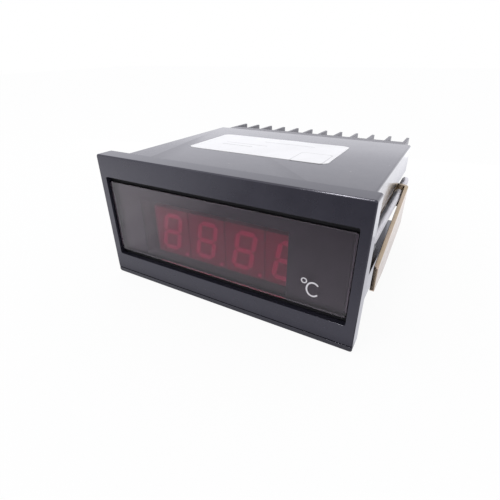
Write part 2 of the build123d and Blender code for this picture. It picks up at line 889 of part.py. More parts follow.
def build():
    right_bracket = clamp_bracket()
    right_screw = clamp_screw()
    right_foot = screw_foot()
    places = terminal_places()
    parts = {
        "front_bezel": front_bezel(),
        "front_lens": front_lens(),
        "display_mask": display_mask(),
        "red_filter": red_filter(),
        "display_board": display_board(),
        "display_header": right_angle_header(display_board_rear, 1),
        "case_sleeve": case_sleeve(),
        "main_board": main_board(),
        "rear_board": rear_board(),
        "rear_header": right_angle_header(rear_board_start, -1),
        "converter_chip": converter_chip(),
        "transformer_core": transformer_core(),
        "transformer_bobbin": transformer_bobbin(),
        "transformer_coil": transformer_coil(),
        "filter_capacitors": filter_capacitors(),
        "voltage_regulator": voltage_regulator(),
        "film_capacitors": film_capacitors(),
        "rectifier_diodes": rectifier_diodes(),
        "zero_trimmer": trimmer_body(0),
        "zero_trimmer_rotor": trimmer_rotor(0),
        "span_trimmer": trimmer_body(1),
        "span_trimmer_rotor": trimmer_rotor(1),
        "rear_cover": rear_cover(),
        "terminal_block": terminal_block(),
        "terminal_plates": Compound(children=[solid_of(terminal_plate(x)) for x in places]),
        "terminal_washers": Compound(children=[solid_of(terminal_washer(x)) for x in places]),
        "terminal_screws": Compound(children=[solid_of(terminal_screw(x)) for x in places]),
        "right_clamp_bracket": right_bracket,
        "right_clamp_screw": right_screw,
        "right_screw_foot": right_foot,
        "left_clamp_bracket": turned_over(right_bracket),
        "left_clamp_screw": turned_over(right_screw),
        "left_screw_foot": turned_over(right_foot),
        "top_label": top_label(),
    }
    for i, x in enumerate(digit_places()):
        parts["digit_" + str(i + 1)] = digit_module(x)
    return parts


os.makedirs("parts", exist_ok=True)
for name, shape in build().items():
    export_step(solid_of(shape), "parts/" + name + ".step")
    print(name, len(shape.solids()))
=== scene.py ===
import json
import math

import bmesh
import bpy
from mathutils import Matrix, Vector, noise


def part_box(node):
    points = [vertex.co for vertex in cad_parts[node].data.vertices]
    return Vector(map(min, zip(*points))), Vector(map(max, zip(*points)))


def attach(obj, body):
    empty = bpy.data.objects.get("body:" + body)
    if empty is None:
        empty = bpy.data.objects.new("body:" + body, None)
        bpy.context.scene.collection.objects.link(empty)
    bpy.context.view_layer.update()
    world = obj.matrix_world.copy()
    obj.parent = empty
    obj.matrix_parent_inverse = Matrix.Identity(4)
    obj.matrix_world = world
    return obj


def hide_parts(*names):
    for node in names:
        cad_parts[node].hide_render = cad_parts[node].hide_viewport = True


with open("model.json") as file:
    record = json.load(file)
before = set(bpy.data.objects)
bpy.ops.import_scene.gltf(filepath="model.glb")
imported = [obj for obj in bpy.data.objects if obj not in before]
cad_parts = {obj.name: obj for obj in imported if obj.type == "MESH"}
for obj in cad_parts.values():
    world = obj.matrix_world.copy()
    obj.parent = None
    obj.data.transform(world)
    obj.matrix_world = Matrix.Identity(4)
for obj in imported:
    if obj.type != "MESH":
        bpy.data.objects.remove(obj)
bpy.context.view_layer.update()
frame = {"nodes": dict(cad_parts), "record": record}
mm = 0.001
print("frame loaded:", len(frame["nodes"]), "nodes")

# ---- camera, at the photograph's place
photoCamera = {
    "place": (0.059605, -0.087751, 0.053139),
    "forward": (-0.43080729, 0.76424869, -0.47992606),
    "right": (0.87223539, 0.48906865, -0.00415751),
    "lens": 25.26,
    "sensor": 36.0,
}


def placeCamera(view):
    forward = Vector(view["forward"]).normalized()
    right = Vector(view["right"]).normalized()
    up = right.cross(forward)
    data = bpy.data.cameras.new("photoCamera")
    data.lens = view["lens"]
    data.sensor_width = view["sensor"]
    data.clip_start = 0.004
    data.clip_end = 20.0
    camera = bpy.data.objects.new("photoCamera", data)
    turn = Matrix((right, up, -forward)).transposed().to_4x4()
    camera.matrix_world = Matrix.Translation(view["place"]) @ turn
    bpy.context.scene.collection.objects.link(camera)
    bpy.context.scene.camera = camera


placeCamera(photoCamera)
print("camera placed")


# ---- small helpers for shader nodes
def put(tree, kind, inputs=None, **settings):
    node = tree.nodes.new(kind)
    for label, value in settings.items():
        setattr(node, label, value)
    for label, value in (inputs or {}).items():
        if isinstance(value, bpy.types.NodeSocket):
            tree.links.new(value, node.inputs[label])
        else:
            node.inputs[label].default_value = value
    return node


def mixColour(tree, factor, first, second):
    return put(tree, "ShaderNodeMix", {0: factor, 6: first, 7: second}, data_type="RGBA").outputs[2]


def maths(tree, operation, first, second=0.0, clamp=False):
    return put(tree, "ShaderNodeMath", {0: first, 1: second}, operation=operation, use_clamp=clamp).outputs[0]


def times(tree, first, second, clamp=False):
    return maths(tree, "MULTIPLY", first, second, clamp)


def plus(tree, first, second, clamp=False):
    return maths(tree, "ADD", first, second, clamp)


def vectorMaths(tree, operation, first, second):
    return put(tree, "ShaderNodeVectorMath", {0: first, 1: second}, operation=operation).outputs


def spread(tree, value, fromLow, fromHigh, toLow=0.0, toHigh=1.0):
    inputs = {"Value": value, "From Min": fromLow, "From Max": fromHigh, "To Min": toLow, "To Max": toHigh}
    return put(tree, "ShaderNodeMapRange", inputs).outputs[0]


def between(tree, mask, span):
    return spread(tree, mask, 0.0, 1.0, *span)


def noiseOn(tree, place, scale, detail=2.0, roughness=0.5):
    inputs = {"Vector": place, "Scale": scale, "Detail": detail, "Roughness": roughness}
    return put(tree, "ShaderNodeTexNoise", inputs).outputs


def objectPlace(tree):
    return put(tree, "ShaderNodeTexCoord").outputs["Object"]


def splitVector(tree, vector):
    return put(tree, "ShaderNodeSeparateXYZ", {0: vector}).outputs


def effectGroup(name, inputs, outputs):
    group = bpy.data.node_groups.new(name, "ShaderNodeTree")
    for label, value in inputs.items():
        socket = group.interface.new_socket(label, in_out="INPUT", socket_type="NodeSocketFloat")
        socket.default_value = value
        socket.min_value = -1e6
        socket.max_value = 1e6
    for label in outputs:
        group.interface.new_socket(label, in_out="OUTPUT", socket_type="NodeSocketFloat")
    return group, group.nodes.new("NodeGroupInput").outputs, group.nodes.new("NodeGroupOutput")


def placeGroup(tree, group, values):
    node = put(tree, "ShaderNodeGroup", node_tree=group)
    for label, value in values.items():
        node.inputs[label].default_value = value
    return node.outputs


# ---- effects that several materials share
def makeMouldGrain():
    inputs = {"Size": 9000.0, "Shift": 0.0}
    group, given, out = effectGroup("mouldGrain", inputs, ["Height", "Speckle", "Cloud"])
    pitShare = 0.5
    cloudScale = 0.011  # the clouds are far wider than the grain
    moved = vectorMaths(group, "ADD", objectPlace(group), given["Shift"])[0]
    fine = noiseOn(group, moved, given["Size"], 3.0, 0.6)[0]
    pits = put(group, "ShaderNodeTexVoronoi", {"Vector": moved, "Scale": given["Size"]}, feature="SMOOTH_F1")
    pitted = times(group, pits.outputs["Distance"], pitShare)
    cloud = noiseOn(group, moved, times(group, given["Size"], cloudScale), 4.0, 0.55)[0]
    group.links.new(plus(group, fine, pitted), out.inputs["Height"])
    group.links.new(spread(group, fine, 0.35, 0.7), out.inputs["Speckle"])
    group.links.new(spread(group, cloud, 0.32, 0.68), out.inputs["Cloud"])
    return group


def makeRubbedEdges():
    inputs = {"Radius": 0.0003, "Strength": 5.0, "Breaks": 700.0}
    group, given, out = effectGroup("rubbedEdges", inputs, ["Mask"])
    rounded = put(group, "ShaderNodeBevel", {"Radius": given["Radius"]}, samples=6).outputs[0]
    flat = put(group, "ShaderNodeNewGeometry").outputs["Normal"]
    agree = vectorMaths(group, "DOT_PRODUCT", rounded, flat)["Value"]
    edge = times(group, maths(group, "SUBTRACT", 1.0, agree), given["Strength"], clamp=True)
    broken = spread(group, noiseOn(group, objectPlace(group), given["Breaks"], 5.0)[0], 0.4, 0.65)
    group.links.new(times(group, edge, broken, clamp=True), out.inputs["Mask"])
    return group


def makeSettledDust():
    group, given, out = effectGroup("settledDust", {"Size": 900.0, "Cover": 0.1}, ["Mask", "Film"])
    wander = 0.0003  # how far a speck's outline wanders
    largest = 0.16  # a speck's radius as a share of its cell
    place = objectPlace(group)
    warp = noiseOn(group, place, 2500.0)["Color"]
    bent = put(group, "ShaderNodeVectorMath", {0: warp, "Scale": wander}, operation="SCALE").outputs[0]
    moved = vectorMaths(group, "ADD", place, bent)[0]
    cells = put(group, "ShaderNodeTexVoronoi", {"Vector": moved, "Scale": given["Size"]})
    kept = put(group, "ShaderNodeSeparateColor", {0: cells.outputs["Color"]})
    radius = times(group, kept.outputs[0], largest)
    speck = maths(group, "LESS_THAN", cells.outputs["Distance"], radius)
    chosen = maths(group, "LESS_THAN", kept.outputs[1], given["Cover"])
    up = splitVector(group, put(group, "ShaderNodeNewGeometry").outputs["Normal"])[2]
    lying = spread(group, up, -0.2, 0.9, 0.25, 1.0)  # less dust on upright faces
    film = spread(group, noiseOn(group, place, 260.0, 8.0, 0.7)[0], 0.42, 0.78)
    group.links.new(times(group, speck, chosen), out.inputs["Mask"])
    group.links.new(times(group, film, lying), out.inputs["Film"])
    return group


def makeHairScratches():
    group, given, out = effectGroup("hairScratches", {"Density": 60.0, "Amount": 0.5}, ["Mask"])
    hairWidth = 0.006
    place = objectPlace(group)
    total = None
    for turn, squeeze in ((0.5, (1, 22, 1)), (-0.9, (26, 1, 1)), (1.9, (1, 1, 24))):
        inputs = {"Vector": place, "Rotation": (turn, turn * 0.6, turn * 1.3), "Scale": squeeze}
        laid = put(group, "ShaderNodeMapping", inputs).outputs[0]
        hair = noiseOn(group, laid, given["Density"])[0]
        away = maths(group, "ABSOLUTE", maths(group, "SUBTRACT", hair, 0.5))
        line = spread(group, away, 0.0, hairWidth, 1.0, 0.0)
        total = line if total is None else maths(group, "MAXIMUM", total, line)
    gaps = spread(group, noiseOn(group, place, 190.0, 3.0)[0], 0.55, 0.7)
    broken = times(group, total, gaps)
    group.links.new(times(group, broken, given["Amount"], clamp=True), out.inputs["Mask"])
    return group


def makeRolledGrain():
    group, given, out = effectGroup("rolledGrain", {"Size": 900.0, "Stretch": 0.06}, ["Height", "Streak"])
    fineness = 8.0  # the fine lines against the streaks
    squeeze = put(group, "ShaderNodeCombineXYZ", {0: 1.0, 1: given["Stretch"], 2: 1.0}).outputs[0]
    laid = vectorMaths(group, "MULTIPLY", objectPlace(group), squeeze)[0]
    fine = noiseOn(group, laid, times(group, given["Size"], fineness))[0]
    wide = noiseOn(group, laid, given["Size"], 4.0)[0]
    group.links.new(fine, out.inputs["Height"])
    group.links.new(spread(group, wide, 0.35, 0.65), out.inputs["Streak"])
    return group


mouldGrain = makeMouldGrain()
rubbedEdges = makeRubbedEdges()
settledDust = makeSettledDust()
hairScratches = makeHairScratches()
rolledGrain = makeRolledGrain()
print("shared effects ready")


# ---- materials
def newMaterial(name):
    material = bpy.data.materials.new(name)
    material.use_nodes = True
    tree = material.node_tree
    tree.nodes.clear()
    shader = put(tree, "ShaderNodeBsdfPrincipled")
    output = put(tree, "ShaderNodeOutputMaterial")
    tree.links.new(shader.outputs[0], output.inputs["Surface"])
    return material, tree, shader


def linkShader(tree, shader, colour, rough, height, look):
    inputs = {"Height": height, "Strength": look["bump"], "Distance": look["depth"]}
    tree.links.new(colour, shader.inputs["Base Color"])
    tree.links.new(rough, shader.inputs["Roughness"])
    tree.links.new(put(tree, "ShaderNodeBump", inputs).outputs[0], shader.inputs["Normal"])


# what a moulded plastic has where its own look doesn't say otherwise
plasticDefaults = {
    "shift": 0.0,
    "speckle": 0.35,
    "bump": 0.25,
    "depth": 0.00002,
    "rub": 0.25,
    "rubRadius": 0.0003,
    "rubStrength": 4.0,
    "dust": 0.1,
    "dustSize": 700.0,
    "dustColour": (0.56, 0.54, 0.52, 1),
    "dustMatt": 0.5,
    "dustHigh": 1.5,
    "speck": 0.5,
    "film": 0.04,
    "scratch": 0.4,
    "scratchMatt": 0.18,
    "scratchDeep": 0.8,
    "sideGrain": 0.15,
    "sheen": (1, 1, 1, 1),
    "ior": 1.5,
    "coat": 0.0,
    "coatRoughness": 0.1,
    "soft": 0.0,
    "softRadius": (0.0006, 0.0005, 0.0004),
}


def mouldedPlastic(name, ownLook):
    look = {**plasticDefaults, **ownLook}
    material, tree, shader = newMaterial(name)
    grain = placeGroup(tree, mouldGrain, {"Size": look["grain"], "Shift": look["shift"]})
    rub = placeGroup(tree, rubbedEdges, {"Radius": look["rubRadius"], "Strength": look["rubStrength"]})
    dust = placeGroup(tree, settledDust, {"Size": look["dustSize"], "Cover": look["dust"]})
    scratch = placeGroup(tree, hairScratches, {"Amount": look["scratch"]})
    colour = mixColour(tree, grain["Cloud"], look["colour"], look["cloud"])
    speckled = times(tree, grain["Speckle"], look["speckle"])
    colour = mixColour(tree, speckled, colour, look["cloud"])
    colour = mixColour(tree, times(tree, rub["Mask"], look["rub"]), colour, look["worn"])
    filmed = times(tree, dust["Film"], look["film"])
    speck = times(tree, dust["Mask"], look["speck"])
    dusted = maths(tree, "MAXIMUM", filmed, speck)
    colour = mixColour(tree, dusted, colour, look["dustColour"])
    rough = between(tree, grain["Cloud"], look["roughness"])
    height = grain["Height"]
    if "polishedSides" in look:  # grained in front, glossy on the other sides
        normal = put(tree, "ShaderNodeTexCoord").outputs["Normal"]
        front = spread(tree, splitVector(tree, normal)[1], -0.9, -0.6, 1.0, 0.0)
        side = between(tree, grain["Cloud"], look["polishedSides"])
        rough = put(tree, "ShaderNodeMix", {0: front, 2: side, 3: rough}).outputs[0]
        height = times(tree, height, spread(tree, front, 0.0, 1.0, look["sideGrain"], 1.0))
    rough = plus(tree, rough, times(tree, dusted, look["dustMatt"]))
    scratched = times(tree, scratch["Mask"], look["scratchMatt"])
    rough = plus(tree, rough, scratched, clamp=True)
    height = maths(tree, "SUBTRACT", height, times(tree, scratch["Mask"], look["scratchDeep"]))
    height = plus(tree, height, times(tree, dust["Mask"], look["dustHigh"]))
    linkShader(tree, shader, colour, rough, height, look)
    for label, key in (
        ("IOR", "ior"),
        ("Specular Tint", "sheen"),
        ("Coat Weight", "coat"),
        ("Coat Roughness", "coatRoughness"),
        ("Subsurface Weight", "soft"),
        ("Subsurface Radius", "softRadius"),
    ):
        shader.inputs[label].default_value = look[key]
    return material


plateWear = {
    "rub": {"Radius": 0.0002, "Strength": 6.0, "Breaks": 1500.0},
    "rubShare": 0.5,
    "dust": {"Size": 800.0, "Cover": 0.12},
    "dustShare": 0.06,
    "dustColour": (0.5, 0.48, 0.45, 1),
    "dustMatt": 0.3,
    "scratch": {"Amount": 0.7, "Density": 90.0},
    "stainShift": 0.013,
    "streakMatt": 0.06,
}


def platedSheet(name, look, wear=plateWear):
    material, tree, shader = newMaterial(name)
    grain = placeGroup(tree, rolledGrain, {"Size": look["grain"], "Stretch": look["stretch"]})
    rub = placeGroup(tree, rubbedEdges, wear["rub"])
    dust = placeGroup(tree, settledDust, wear["dust"])
    scratch = placeGroup(tree, hairScratches, wear["scratch"])
    stain = placeGroup(tree, mouldGrain, {"Size": look["stain"], "Shift": wear["stainShift"]})
    colour = mixColour(tree, grain["Streak"], look["colour"], look["streak"])
    colour = mixColour(tree, stain["Cloud"], colour, look["cloud"])
    tinge = times(tree, stain["Speckle"], look["tinge"])
    colour = mixColour(tree, tinge, colour, look["tingeColour"])
    colour = mixColour(tree, times(tree, rub["Mask"], wear["rubShare"]), colour, look["bare"])
    dusted = times(tree, dust["Film"], wear["dustShare"])
    colour = mixColour(tree, dusted, colour, wear["dustColour"])
    rough = between(tree, stain["Cloud"], look["roughness"])
    rough = plus(tree, rough, times(tree, grain["Streak"], wear["streakMatt"]))
    rough = plus(tree, rough, times(tree, dust["Mask"], wear["dustMatt"]), clamp=True)
    height = maths(tree, "SUBTRACT", grain["Height"], scratch["Mask"])
    linkShader(tree, shader, colour, rough, height, look)
    shader.inputs["Metallic"].default_value = 1.0
    return material


bezelLook = {
    "colour": (0.011, 0.0105, 0.017, 1),
    "cloud": (0.016, 0.0155, 0.024, 1),
    "worn": (0.07, 0.07, 0.08, 1),
    "sheen": (0.90, 0.88, 1.0, 1),
    "roughness": (0.24, 0.32),
    "polishedSides": (0.05, 0.10),
    "grain": 9000.0,
    "bump": 0.3,
    "depth": 0.00003,
    "dust": 0.10,
    "speck": 0.3,
    "film": 0.015,
    "rub": 0.16,
    "rubRadius": 0.0002,
    "ior": 1.54,
    "coat": 0.15,
}
caseLook = {
    "colour": (0.036, 0.035, 0.041, 1),
    "cloud": (0.046, 0.045, 0.052, 1),
    "worn": (0.13, 0.13, 0.14, 1),
    "sheen": (0.86, 0.84, 1.0, 1),
    "roughness": (0.11, 0.18),
    "grain": 5000.0,
    "shift": 0.31,
    "bump": 0.10,
    "depth": 0.00003,
    "dust": 0.08,
    "dustSize": 520.0,
    "speck": 0.4,
    "film": 0.05,
    "scratch": 0.6,
    "coat": 0.35,
}
terminalLook = {
    "colour": (0.17, 0.167, 0.184, 1),
    "cloud": (0.19, 0.187, 0.204, 1),
    "worn": (0.2, 0.2, 0.21, 1),
    "sheen": (0.92, 0.9, 1.0, 1),
    "roughness": (0.36, 0.46),
    "grain": 7000.0,
    "shift": 0.7,
    "bump": 0.18,
    "film": 0.08,
    "dust": 0.1,
    "ior": 1.42,
}
digitLook = {
    "colour": (0.34, 0.10, 0.18, 1),
    "cloud": (0.40, 0.12, 0.20, 1),
    "worn": (0.4, 0.1, 0.1, 1),
    "roughness": (0.45, 0.55),
    "grain": 4000.0,
    "bump": 0.05,
}
segmentLook = {
    "colour": (0.90, 0.27, 0.46, 1),
    "cloud": (0.94, 0.31, 0.50, 1),
    "worn": (0.8, 0.3, 0.3, 1),
    "roughness": (0.4, 0.5),
    "grain": 3000.0,
    "bump": 0.08,
    "soft": 0.2,
}
maskLook = {
    "colour": (0.014, 0.008, 0.017, 1),
    "cloud": (0.018, 0.010, 0.022, 1),
    "worn": (0.05, 0.02, 0.04, 1),
    "roughness": (0.7, 0.8),
    "grain": 3000.0,
    "bump": 0.02,
}
headerLook = {
    "colour": (0.020, 0.020, 0.021, 1),
    "cloud": (0.030, 0.030, 0.031, 1),
    "worn": (0.1, 0.1, 0.1, 1),
    "roughness": (0.35, 0.5),
    "grain": 6000.0,
}
chipLook = {
    "colour": (0.028, 0.028, 0.030, 1),
    "cloud": (0.040, 0.040, 0.042, 1),
    "worn": (0.12, 0.12, 0.12, 1),
    "roughness": (0.5, 0.62),
    "grain": 5200.0,
    "bump": 0.4,
}
bobbinLook = {
    "colour": (0.72, 0.68, 0.58, 1),
    "cloud": (0.66, 0.60, 0.50, 1),
    "worn": (0.85, 0.82, 0.75, 1),
    "roughness": (0.35, 0.5),
    "grain": 1500.0,
    "soft": 0.15,
}
sleeveLook = {
    "colour": (0.020, 0.026, 0.075, 1),
    "cloud": (0.028, 0.036, 0.10, 1),
    "worn": (0.1, 0.12, 0.2, 1),
    "roughness": (0.14, 0.24),
    "grain": 1800.0,
    "bump": 0.1,
}
filmCapacitorLook = {
    "colour": (0.42, 0.10, 0.045, 1),
    "cloud": (0.50, 0.15, 0.06, 1),
    "worn": (0.6, 0.3, 0.2, 1),
    "roughness": (0.12, 0.25),
    "grain": 1400.0,
    "bump": 0.5,
    "depth": 0.00006,
}
trimmerLook = {
    "colour": (0.03, 0.12, 0.38, 1),
    "cloud": (0.04, 0.15, 0.44, 1),
    "worn": (0.2, 0.3, 0.5, 1),
    "roughness": (0.3, 0.42),
    "grain": 4200.0,
}
rotorLook = {
    "colour": (0.74, 0.73, 0.68, 1),
    "cloud": (0.68, 0.66, 0.60, 1),
    "worn": (0.85, 0.85, 0.8, 1),
    "roughness": (0.3, 0.42),
    "grain": 3800.0,
}
footLook = {
    "colour": (0.030, 0.030, 0.031, 1),
    "cloud": (0.044, 0.043, 0.044, 1),
    "worn": (0.14, 0.14, 0.14, 1),
    "roughness": (0.4, 0.52),
    "grain": 6000.0,
    "film": 0.1,
}
# near-black for the lens border; up the pad's sides it is painted shade over the gaps round the pad
borderLook = {
    "colour": (0.004, 0.004, 0.005, 1),
    "cloud": (0.006, 0.006, 0.007, 1),
    "worn": (0.01, 0.01, 0.01, 1),
    "roughness": (0.6, 0.75),
    "grain": 6000.0,
    "film": 0.0,
    "speck": 0.1,
}
inkLook = {
    "colour": (0.66, 0.64, 0.67, 1),
    "cloud": (0.60, 0.58, 0.62, 1),
    "worn": (0.5, 0.5, 0.5, 1),
    "roughness": (0.4, 0.55),
    "grain": 12000.0,
    "bump": 0.2,
}
paleInkLook = {
    "colour": (0.50, 0.50, 0.51, 1),
    "cloud": (0.56, 0.56, 0.57, 1),
    "worn": (0.6, 0.6, 0.6, 1),
    "roughness": (0.4, 0.5),
    "grain": 15000.0,
    "bump": 0.1,
}
zincLook = {
    "colour": (0.52, 0.41, 0.285, 1),
    "streak": (0.46, 0.355, 0.225, 1),
    "cloud": (0.58, 0.45, 0.37, 1),
    "tinge": 0.5,
    "tingeColour": (0.41, 0.39, 0.20, 1),
    "bare": (0.82, 0.77, 0.74, 1),
    "roughness": (0.10, 0.2),
    "grain": 700.0,
    "stretch": 0.08,
    "stain": 14000.0,
    "bump": 0.35,
    "depth": 0.00002,
}
nickelLook = {
    "colour": (0.80, 0.79, 0.80, 1),
    "streak": (0.74, 0.73, 0.74, 1),
    "cloud": (0.85, 0.84, 0.84, 1),
    "tinge": 0.15,
    "tingeColour": (0.5, 0.48, 0.42, 1),
    "bare": (0.8, 0.79, 0.77, 1),
    "roughness": (0.3, 0.42),
    "grain": 1200.0,
    "stretch": 0.4,
    "stain": 20000.0,
    "bump": 0.15,
    "depth": 0.00002,
}


lensLook = {
    "tint": (0.80, 0.68, 0.76, 1),
    "dustColour": (0.8, 0.78, 0.8, 1),
    "roughness": (0.08, 0.11),
    "rearFrom": (-0.0040, -0.0030),
    "rearMatt": 0.155,
    "dustSize": 420.0,
    "dust": 0.07,
    "dustShare": 0.6,
    "scratch": {"Amount": 0.2, "Density": 40.0},
    "scratchShare": 0.2,
    "grain": {"Size": 2600.0, "Shift": 0.9},
    "waviness": 0.1,
    "markDepth": 0.2,
    "bump": 0.05,
    "depth": 0.00002,
    "ior": 1.5,
}


def smokedLens(look):
    material, tree, shader = newMaterial("smokedLens")
    dust = placeGroup(tree, settledDust, {"Size": look["dustSize"], "Cover": look["dust"]})
    scratch = placeGroup(tree, hairScratches, look["scratch"])
    grain = placeGroup(tree, mouldGrain, look["grain"])
    dusted = times(tree, dust["Mask"], look["dustShare"])
    scratched = times(tree, scratch["Mask"], look["scratchShare"])
    colour = mixColour(tree, dusted, look["tint"], look["dustColour"])
    behind = spread(tree, splitVector(tree, objectPlace(tree))[1], *look["rearFrom"])
    rough = between(tree, grain["Cloud"], look["roughness"])
    rough = plus(tree, rough, times(tree, behind, look["rearMatt"]))
    marks = plus(tree, scratched, dusted)
    marks = times(tree, marks, maths(tree, "SUBTRACT", 1.0, behind))  # on the front face only
    rough = plus(tree, rough, marks, clamp=True)
    wavy = times(tree, grain["Cloud"], look["waviness"])
    height = maths(tree, "SUBTRACT", wavy, times(tree, marks, look["markDepth"]))
    linkShader(tree, shader, colour, rough, height, look)
    shader.inputs["IOR"].default_value = look["ior"]
    shader.inputs["Transmission Weight"].default_value = 1.0
    return material


filterLook = {
    "tint": (0.98, 0.30, 0.52, 1),
    "cloud": (0.96, 0.27, 0.48, 1),
    "roughness": (0.06, 0.12),
    "bump": 0.1,
    "depth": 0.00001,
    "ior": 1.15,
}


def redFilterFilm(look):
    material, tree, shader = newMaterial("redFilterFilm")
    grain = placeGroup(tree, mouldGrain, {"Size": 1500.0, "Shift": 0.2})
    colour = mixColour(tree, grain["Cloud"], look["tint"], look["cloud"])
    rough = between(tree, grain["Speckle"], look["roughness"])
    linkShader(tree, shader, colour, rough, grain["Height"], look)
    shader.inputs["IOR"].default_value = look["ior"]
    shader.inputs["Transmission Weight"].default_value = 1.0
    return material


boardLook = {
    "colour": (0.018, 0.115, 0.045, 1),
    "cloud": (0.026, 0.15, 0.06, 1),
    "track": (0.05, 0.26, 0.10, 1),
    "trackCover": 0.48,
    "roughness": (0.22, 0.34),
    "grainShare": 0.2,
    "bump": 0.4,
    "depth": 0.00003,
}


def circuitBoard(look):
    material, tree, shader = newMaterial("solderMask")
    grain = placeGroup(tree, mouldGrain, {"Size": 2600.0, "Shift": 0.4})
    place = objectPlace(tree)
    inputs = {"Vector": place, "Scale": 160.0, "Mortar Size": 0.10, "Mortar Smooth": 0.1}
    inputs.update({"Brick Width": 0.9, "Row Height": 0.4})
    track = put(tree, "ShaderNodeTexBrick", inputs).outputs["Fac"]
    route = noiseOn(tree, place, 120.0, 1.0)[0]
    copper = times(tree, track, maths(tree, "GREATER_THAN", route, look["trackCover"]))
    colour = mixColour(tree, grain["Cloud"], look["colour"], look["cloud"])
    colour = mixColour(tree, copper, colour, look["track"])
    rough = between(tree, grain["Cloud"], look["roughness"])
    height = plus(tree, times(tree, grain["Height"], look["grainShare"]), copper)
    linkShader(tree, shader, colour, rough, height, look)
    return material


def bandsOn(tree, scale, distortion, detail, direction):
    inputs = {"Vector": objectPlace(tree), "Scale": scale, "Distortion": distortion, "Detail": detail}
    return put(tree, "ShaderNodeTexWave", inputs, wave_type="BANDS", bands_direction=direction).outputs[0]


coreLook = {
    "seam": (0.06, 0.055, 0.05, 1),
    "steel": (0.34, 0.34, 0.35, 1),
    "stain": (0.25, 0.2, 0.16, 1),
    "stainShare": 0.4,
    "roughness": (0.35, 0.55),
    "bump": 0.5,
    "depth": 0.00005,
    "metallic": 0.8,
}


def laminatedCore(look):
    material, tree, shader = newMaterial("laminatedCore")
    grain = placeGroup(tree, mouldGrain, {"Size": 5000.0, "Shift": 0.6})
    seam = spread(tree, bandsOn(tree, 320.0, 0.4, 1.0, "Y"), 0.0, 0.25)
    colour = mixColour(tree, seam, look["seam"], look["steel"])
    stained = times(tree, grain["Cloud"], look["stainShare"])
    colour = mixColour(tree, stained, colour, look["stain"])
    rough = between(tree, grain["Cloud"], look["roughness"])
    linkShader(tree, shader, colour, rough, seam, look)
    shader.inputs["Metallic"].default_value = look["metallic"]
    return material


tapeLook = {
    "colour": (0.62, 0.44, 0.07, 1),
    "cloud": (0.55, 0.36, 0.05, 1),
    "edge": (0.36, 0.22, 0.03, 1),
    "edgeShare": 0.5,
    "roughness": (0.18, 0.32),
    "bump": 0.3,
    "depth": 0.0001,
}


def coilTape(look):
    material, tree, shader = newMaterial("coilTape")
    grain = placeGroup(tree, mouldGrain, {"Size": 2200.0, "Shift": 0.8})
    wraps = bandsOn(tree, 95.0, 1.2, 2.0, "Z")
    edge = times(tree, spread(tree, wraps, 0.9, 1.0), look["edgeShare"])
    colour = mixColour(tree, grain["Cloud"], look["colour"], look["cloud"])
    colour = mixColour(tree, edge, colour, look["edge"])
    rough = between(tree, grain["Cloud"], look["roughness"])
    linkShader(tree, shader, colour, rough, wraps, look)
    return material


labelLook = {
    "colour": (0.86, 0.86, 0.88, 1),
    "cloud": (0.82, 0.82, 0.84, 1),
    "film": (0.60, 0.58, 0.54, 1),
    "filmShare": 0.08,
    "speck": (0.35, 0.33, 0.30, 1),
    "speckShare": 0.4,
    "scratchMatt": 0.15,
    "roughness": (0.28, 0.36),
    "bump": 0.15,
    "depth": 0.00002,
}


def labelFilm(look):
    material, tree, shader = newMaterial("labelFilm")
    grain = placeGroup(tree, mouldGrain, {"Size": 6000.0, "Shift": 0.5})
    dust = placeGroup(tree, settledDust, {"Size": 800.0, "Cover": 0.10})
    scratch = placeGroup(tree, hairScratches, {"Amount": 0.5, "Density": 45.0})
    colour = mixColour(tree, grain["Cloud"], look["colour"], look["cloud"])
    colour = mixColour(tree, times(tree, dust["Film"], look["filmShare"]), colour, look["film"])
    colour = mixColour(tree, times(tree, dust["Mask"], look["speckShare"]), colour, look["speck"])
    rough = between(tree, grain["Cloud"], look["roughness"])
    scratched = times(tree, scratch["Mask"], look["scratchMatt"])
    rough = plus(tree, rough, scratched, clamp=True)
    height = maths(tree, "SUBTRACT", grain["Height"], scratch["Mask"])
    linkShader(tree, shader, colour, rough, height, look)
    return material


finishes = {
    "bezel_plastic": mouldedPlastic("bezelPlastic", bezelLook),
    "smoked_lens": smokedLens(lensLook),
    "black_mask": mouldedPlastic("maskPrint", maskLook),
    "red_filter": redFilterFilm(filterLook),
    "digit_body": mouldedPlastic("digitFace", digitLook),
    "circuit_board": circuitBoard(boardLook),
    "header": mouldedPlastic("headerPlastic", headerLook),
    "case_plastic": mouldedPlastic("casePlastic", caseLook),
    "chip": mouldedPlastic("chipMoulding", chipLook),
    "core_steel": laminatedCore(coreLook),
    "bobbin": mouldedPlastic("bobbinNylon", bobbinLook),
    "coil_tape": coilTape(tapeLook),
    "capacitor_sleeve": mouldedPlastic("capacitorSleeve", sleeveLook),
    "film_capacitor": mouldedPlastic("dippedCoating", filmCapacitorLook),
    "trimmer_body": mouldedPlastic("trimmerPlastic", trimmerLook),
    "trimmer_rotor": mouldedPlastic("trimmerRotor", rotorLook),
    "terminal_plastic": mouldedPlastic("terminalPlastic", terminalLook),
    "plated_metal": platedSheet("nickelPlate", nickelLook),
    "yellow_zinc": platedSheet("yellowZinc", zincLook),
    "foot_plastic": mouldedPlastic("footPlastic", footLook),
    "label_film": labelFilm(labelLook),
}
segmentEpoxy = mouldedPlastic("segmentEpoxy", segmentLook)
printInk = mouldedPlastic("printInk", inkLook)
borderPaintAndShade = mouldedPlastic("borderPaintAndShade", borderLook)
paleInk = mouldedPlastic("paleInk", paleInkLook)
for row in frame["record"]["subparts"]:
    node = frame["nodes"][row["node"]]
    node.data.materials.clear()
    node.data.materials.append(finishes[row["material_slot"]])
print("materials ready:", len(finishes) + 4)


# ---- small helpers for meshes
def objectFrom(mesh, name):
    data = bpy.data.meshes.new(name)
    mesh.to_mesh(data)
    mesh.free()
    piece = bpy.data.objects.new(name, data)
    bpy.context.scene.collection.objects.link(piece)
    return piece


smoothAngle = math.radians(35)


